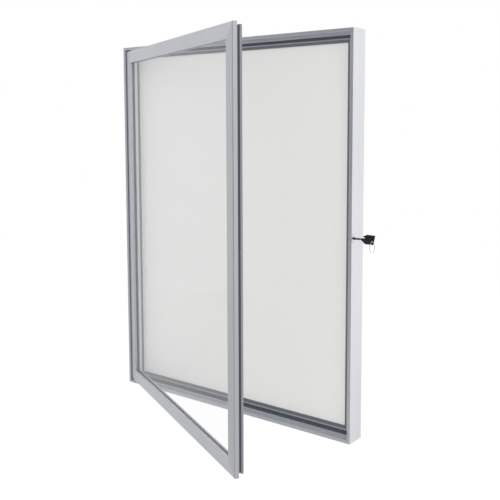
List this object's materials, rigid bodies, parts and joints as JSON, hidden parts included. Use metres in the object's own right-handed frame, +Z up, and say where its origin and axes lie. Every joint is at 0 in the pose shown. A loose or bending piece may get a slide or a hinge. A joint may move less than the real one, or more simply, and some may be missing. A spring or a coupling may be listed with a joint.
{
  "type": "lockable notice board",
  "caption": "Shallow wall case of mitred aluminium section with a display panel, a glazed door that hinges inside its rim, and a key lock in its side.",
  "frame": {"origin": "middle of the back, in the plane of the wall", "axes": "+X to the right as seen from the front, +Y into the wall, +Z up; the lock side is +X"},
  "size_m": [0.7514, 0.3508, 0.91],
  "materials": {
    "satin_aluminium": "satin anodised",
    "cast_aluminium": "as cast",
    "white_enamel": "satin enamel",
    "core_board": "raw board",
    "galvanised_steel": "galvanised",
    "zinc_plated_steel": "zinc plated",
    "nickel_plate": "nickel plated",
    "black_rubber": "matte",
    "black_nylon": "moulded",
    "black_plastic": "moulded",
    "clear_glass": "polished"
  },
  "bodies": {
    "case": {"case_rail_top": "satin_aluminium", "case_rail_bottom": "satin_aluminium", "case_stile_left": "satin_aluminium", "case_stile_right": "satin_aluminium", "case_corner_cleats": "cast_aluminium", "case_corner_screws": "zinc_plated_steel", "display_panel": "white_enamel", "backing_board": "core_board", "back_sheet": "galvanised_steel", "case_seal": "black_rubber", "rim_seal": "black_rubber", "panel_bead": "black_rubber", "wall_inserts": "zinc_plated_steel", "hinge_bush_top": "black_nylon", "hinge_bush_bottom": "black_nylon", "lock_barrel": "nickel_plate", "lock_case": "zinc_plated_steel"},
    "door": {"door_rail_top": "satin_aluminium", "door_rail_bottom": "satin_aluminium", "door_stile_hinge": "satin_aluminium", "door_stile_lock": "satin_aluminium", "door_cleats_hinge": "cast_aluminium", "door_cleats_lock": "cast_aluminium", "door_pane": "clear_glass", "pane_gasket": "black_rubber", "door_seal": "black_rubber", "hinge_pin_top": "zinc_plated_steel", "hinge_pin_bottom": "zinc_plated_steel"},
    "lock_plug": {"lock_plug": "nickel_plate", "lock_cam": "zinc_plated_steel"},
    "lock_bolt": {"lock_bolt": "zinc_plated_steel"},
    "key": {"key_blade": "nickel_plate", "key_bow": "black_plastic"},
    "key_ring": {"key_ring": "nickel_plate"}
  },
  "joints": [
    {"name": "door_hinge", "type": "hinge", "parent": "case", "child": "door", "pos_m": [-0.3349, -0.045, 0], "axis": [0, 0, -1], "range_deg": [-26.6, 78.4]},
    {"name": "lock_turn", "type": "hinge", "parent": "case", "child": "lock_plug", "pos_m": [0.35, -0.0395, 0.005], "axis": [1, 0, 0], "range_deg": [0, 90]},
    {"name": "bolt_slide", "type": "slide", "parent": "case", "child": "lock_bolt", "axis": [-1, 0, 0], "range_m": [0, 0.0033]},
    {"name": "key_slide", "type": "slide", "parent": "lock_plug", "child": "key", "axis": [1, 0, 0], "range_m": [0, 0.03]},
    {"name": "ring_swing", "type": "hinge", "parent": "key", "child": "key_ring", "pos_m": [0.3945, -0.0395, 0.00045], "axis": [0, 1, 0], "range_deg": [-50, 50]}
  ],
  "couplings": [
    {"joint": "bolt_slide", "follows": "lock_turn", "m_per_rad": 0.0021}
  ]
}
